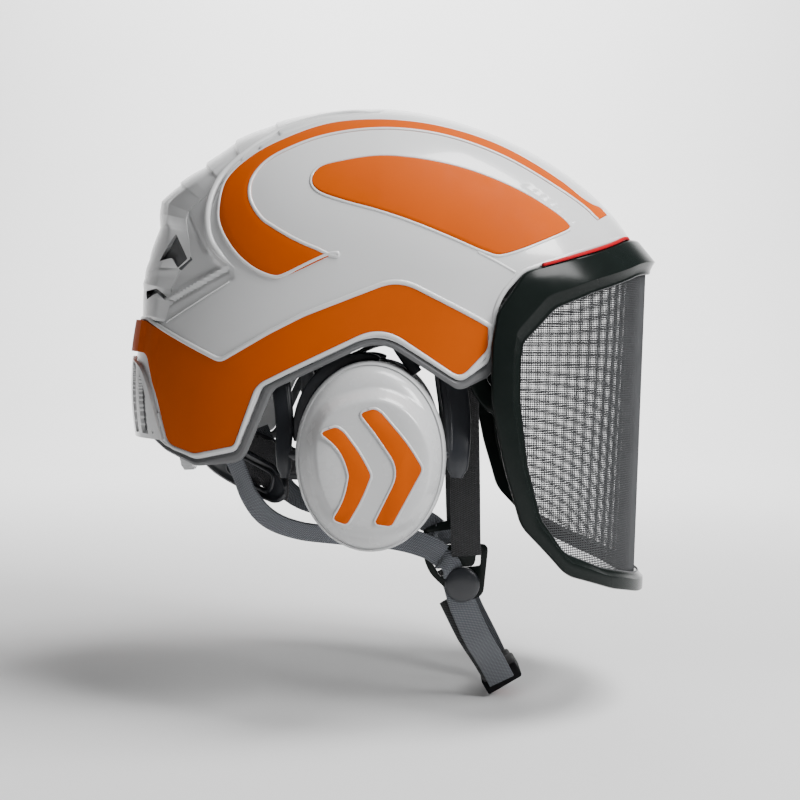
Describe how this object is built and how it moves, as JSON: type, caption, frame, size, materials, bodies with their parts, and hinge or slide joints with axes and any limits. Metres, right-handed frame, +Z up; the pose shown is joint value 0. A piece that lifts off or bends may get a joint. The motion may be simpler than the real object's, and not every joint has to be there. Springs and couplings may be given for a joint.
{
  "type": "forestry helmet with visor and ear muffs",
  "caption": "Safety helmet with a swing-up mesh visor, swing-out ear muffs, a size adjuster and a chin harness.",
  "frame": {"origin": "middle of the head's contact with the flat underside of the crown pad", "axes": "+X forwards out of the face opening, +Y to the wearer's left, +Z up"},
  "size_m": [0.2993, 0.236, 0.332],
  "materials": {
    "shell_white": "glossy pearl white moulded shell",
    "shell_orange": "satin orange insert",
    "flange_grey": "satin mid-grey rim",
    "liner_foam": "black expanded foam",
    "soft_foam": "black padded textile",
    "gloss_black": "glossy black moulded plastic",
    "mesh_grey": "dark coated wire mesh",
    "red_trim": "red rubber",
    "cup_grey": "satin light-grey moulded cup",
    "black_webbing": "black woven webbing",
    "grey_webbing": "grey woven webbing",
    "pin_steel": "brushed steel",
    "dark_plastic": "dark grey moulded plastic"
  },
  "bodies": {
    "helmet": {"outer_shell": "shell_white", "impact_liner": "liner_foam", "rim_flange": "flange_grey", "wrap_band": "shell_orange", "upper_stripe_right": "shell_orange", "upper_stripe_left": "shell_orange", "crown_panel_right": "shell_orange", "crown_panel_left": "shell_orange", "rear_grille": "shell_white", "headband": "dark_plastic", "brow_pad": "soft_foam", "crown_pad": "soft_foam", "crown_strap_long": "black_webbing", "crown_strap_cross": "black_webbing", "headband_clip_front_right": "dark_plastic", "headband_clip_front_left": "dark_plastic", "headband_clip_rear_right": "dark_plastic", "headband_clip_rear_left": "dark_plastic", "cradle_hanger_right": "dark_plastic", "cradle_hanger_left": "dark_plastic", "visor_pivot_right": "pin_steel", "visor_pivot_left": "pin_steel", "muff_hinge_right": "dark_plastic", "muff_hinge_left": "dark_plastic", "front_strap_right": "black_webbing", "rear_strap_right": "grey_webbing", "chin_strap_right": "grey_webbing", "strap_divider_right": "gloss_black", "strap_anchor_right": "dark_plastic", "front_strap_left": "black_webbing", "rear_strap_left": "grey_webbing", "chin_strap_left": "grey_webbing", "strap_divider_left": "gloss_black", "strap_anchor_left": "dark_plastic", "buckle_socket": "gloss_black", "buckle_plug": "gloss_black"},
    "visor": {"visor_frame": "gloss_black", "visor_mesh": "mesh_grey", "visor_seal": "red_trim", "visor_arm_right": "gloss_black", "visor_arm_left": "gloss_black"},
    "size_adjuster": {"nape_cradle": "dark_plastic", "nape_pad": "soft_foam", "ratchet_housing": "dark_plastic"},
    "size_knob": {"size_knob": "cup_grey"},
    "buckle_release": {"buckle_release": "red_trim"},
    "muff_arm_right": {"muff_yoke_right": "dark_plastic"},
    "ear_muff_right": {"ear_cup_right": "cup_grey", "cup_foam_right": "soft_foam", "ear_cushion_right": "soft_foam", "cup_chevron_rear_right": "shell_orange", "cup_chevron_front_right": "shell_orange"},
    "divider_lock_right": {"divider_lock_right": "dark_plastic"},
    "muff_arm_left": {"muff_yoke_left": "dark_plastic"},
    "ear_muff_left": {"ear_cup_left": "cup_grey", "cup_foam_left": "soft_foam", "ear_cushion_left": "soft_foam", "cup_chevron_rear_left": "shell_orange", "cup_chevron_front_left": "shell_orange"},
    "divider_lock_left": {"divider_lock_left": "dark_plastic"}
  },
  "joints": [
    {"name": "visor_swing", "type": "hinge", "parent": "helmet", "child": "visor", "pos_m": [0.04, 0, -0.06], "axis": [0, -1, 0], "range_deg": [0, 70]},
    {"name": "muff_swing_right", "type": "hinge", "parent": "helmet", "child": "muff_arm_right", "pos_m": [0, -0.08, -0.084], "axis": [-1, 0, 0], "range_deg": [0, 10]},
    {"name": "cup_tilt_right", "type": "hinge", "parent": "muff_arm_right", "child": "ear_muff_right", "pos_m": [0.0015, -0.09, -0.1535], "axis": [-1, 0, 0], "range_deg": [-8, 8]},
    {"name": "lock_turn_right", "type": "hinge", "parent": "helmet", "child": "divider_lock_right", "pos_m": [0.0495, -0.054, -0.2265], "axis": [0, -1, 0], "range_deg": [0, 90]},
    {"name": "muff_swing_left", "type": "hinge", "parent": "helmet", "child": "muff_arm_left", "pos_m": [0, 0.08, -0.084], "axis": [1, 0, 0], "range_deg": [0, 10]},
    {"name": "cup_tilt_left", "type": "hinge", "parent": "muff_arm_left", "child": "ear_muff_left", "pos_m": [0.0015, 0.09, -0.1535], "axis": [1, 0, 0], "range_deg": [-8, 8]},
    {"name": "lock_turn_left", "type": "hinge", "parent": "helmet", "child": "divider_lock_left", "pos_m": [0.0495, 0.054, -0.2265], "axis": [0, 1, 0], "range_deg": [0, 90]},
    {"name": "size_slide", "type": "slide", "parent": "helmet", "child": "size_adjuster", "axis": [1, 0, 0], "range_m": [0, 0.012]},
    {"name": "knob_turn", "type": "hinge", "parent": "size_adjuster", "child": "size_knob", "pos_m": [-0.107, 0, -0.15], "axis": [-1, 0, 0], "range_deg": [0, 270]},
    {"name": "release_press", "type": "slide", "parent": "helmet", "child": "buckle_release", "axis": [-0.5, 0, 0.866], "range_m": [0, 0.0012], "stiffness_N_per_m": 400}
  ],
  "couplings": [
    {"joint": "knob_turn", "follows": "size_slide", "rad_per_m": 392.5}
  ]
}
